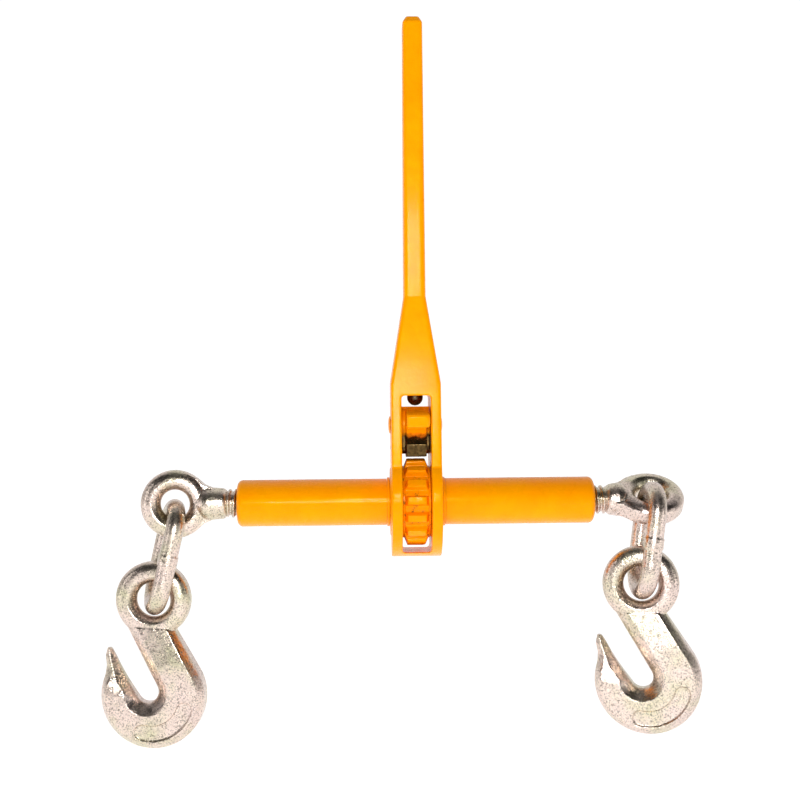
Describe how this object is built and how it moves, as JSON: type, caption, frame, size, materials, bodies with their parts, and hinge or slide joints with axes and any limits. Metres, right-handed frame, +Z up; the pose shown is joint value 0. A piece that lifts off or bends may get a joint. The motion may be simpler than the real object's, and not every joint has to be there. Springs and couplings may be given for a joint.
{
  "type": "load binder",
  "caption": "Ratchet load binder: tubular barrel with opposed eye bolts, a ratchet housing forged with its handle, and a chain link and grab hook at each end.",
  "frame": {"origin": "where the barrel's axis crosses the middle of the ratchet gear", "axes": "+X along the barrel towards the right-hand eye bolt, +Z up the handle, -Y is the front"},
  "size_m": [0.427, 0.078, 0.5177],
  "materials": {
    "yellow_paint": "gloss",
    "zinc_plate": "satin",
    "dark_steel": "satin",
    "spring_steel": "satin"
  },
  "bodies": {
    "barrel": {"barrel_tube": "yellow_paint", "ratchet_gear": "yellow_paint", "gear_pin_front": "spring_steel", "gear_pin_back": "spring_steel", "left_retaining_ring": "yellow_paint", "right_retaining_ring": "yellow_paint"},
    "handle": {"handle": "yellow_paint", "pawl_pin": "yellow_paint", "plunger_spring": "spring_steel"},
    "pawl": {"pawl": "yellow_paint"},
    "plunger": {"plunger": "dark_steel"},
    "left_stop": {"left_stop_collar": "dark_steel"},
    "left_screw": {"left_eye_bolt": "zinc_plate", "left_snap_ring": "spring_steel"},
    "left_link": {"left_link": "zinc_plate"},
    "left_hook": {"left_hook": "zinc_plate"},
    "right_stop": {"right_stop_collar": "dark_steel"},
    "right_screw": {"right_eye_bolt": "zinc_plate", "right_snap_ring": "spring_steel"},
    "right_link": {"right_link": "zinc_plate"},
    "right_hook": {"right_hook": "zinc_plate"}
  },
  "joints": [
    {"name": "handle_swing", "type": "hinge", "parent": "barrel", "child": "handle", "pos_m": [0, 0, 0], "axis": [1, 0, 0], "range_deg": [-168, 168]},
    {"name": "pawl_flip", "type": "hinge", "parent": "handle", "child": "pawl", "pos_m": [0, 0, 0.055], "axis": [1, 0, 0], "range_deg": [-25, 25]},
    {"name": "plunger_press", "type": "slide", "parent": "handle", "child": "plunger", "axis": [0, 0, 1], "range_m": [0, 0.003], "stiffness_N_per_m": 800, "springref_m": -0.004, "deforming": ["plunger_spring"]},
    {"name": "left_screw_travel", "type": "slide", "parent": "barrel", "child": "left_stop", "axis": [-1, 0, 0], "range_m": [-0.0043, 0.0883]},
    {"name": "left_screw_turn", "type": "hinge", "parent": "left_stop", "child": "left_screw", "pos_m": [-0.1715, 0, 0], "axis": [1, 0, 0], "range_deg": [-360, 7560]},
    {"name": "left_link_swing", "type": "hinge", "parent": "left_screw", "child": "left_link", "pos_m": [-0.1715, 0, 0], "axis": [0, 1, 0], "range_deg": [-20, 95]},
    {"name": "left_hook_swing", "type": "hinge", "parent": "left_link", "child": "left_hook", "pos_m": [-0.18747, 0, -0.07218], "axis": [0.1045, 0.9945, 0], "range_deg": [-45, 60]},
    {"name": "right_screw_travel", "type": "slide", "parent": "barrel", "child": "right_stop", "axis": [1, 0, 0], "range_m": [-0.0043, 0.0883]},
    {"name": "right_screw_turn", "type": "hinge", "parent": "right_stop", "child": "right_screw", "pos_m": [0.1682, 0, 0], "axis": [1, 0, 0], "range_deg": [-360, 7560]},
    {"name": "right_link_swing", "type": "hinge", "parent": "right_screw", "child": "right_link", "pos_m": [0.1682, 0, 0], "axis": [0, 0.5446, -0.8387], "range_deg": [-95, 55]},
    {"name": "right_hook_swing", "type": "hinge", "parent": "right_link", "child": "right_hook", "pos_m": [0.15848, -0.0147, -0.06323], "axis": [0.284, 0.9588, 0], "range_deg": [-60, 60]}
  ],
  "couplings": [
    {"joint": "left_screw_travel", "follows": "left_screw_turn", "m_per_rad": 0.00066845},
    {"joint": "right_screw_travel", "follows": "right_screw_turn", "m_per_rad": 0.00066845}
  ]
}
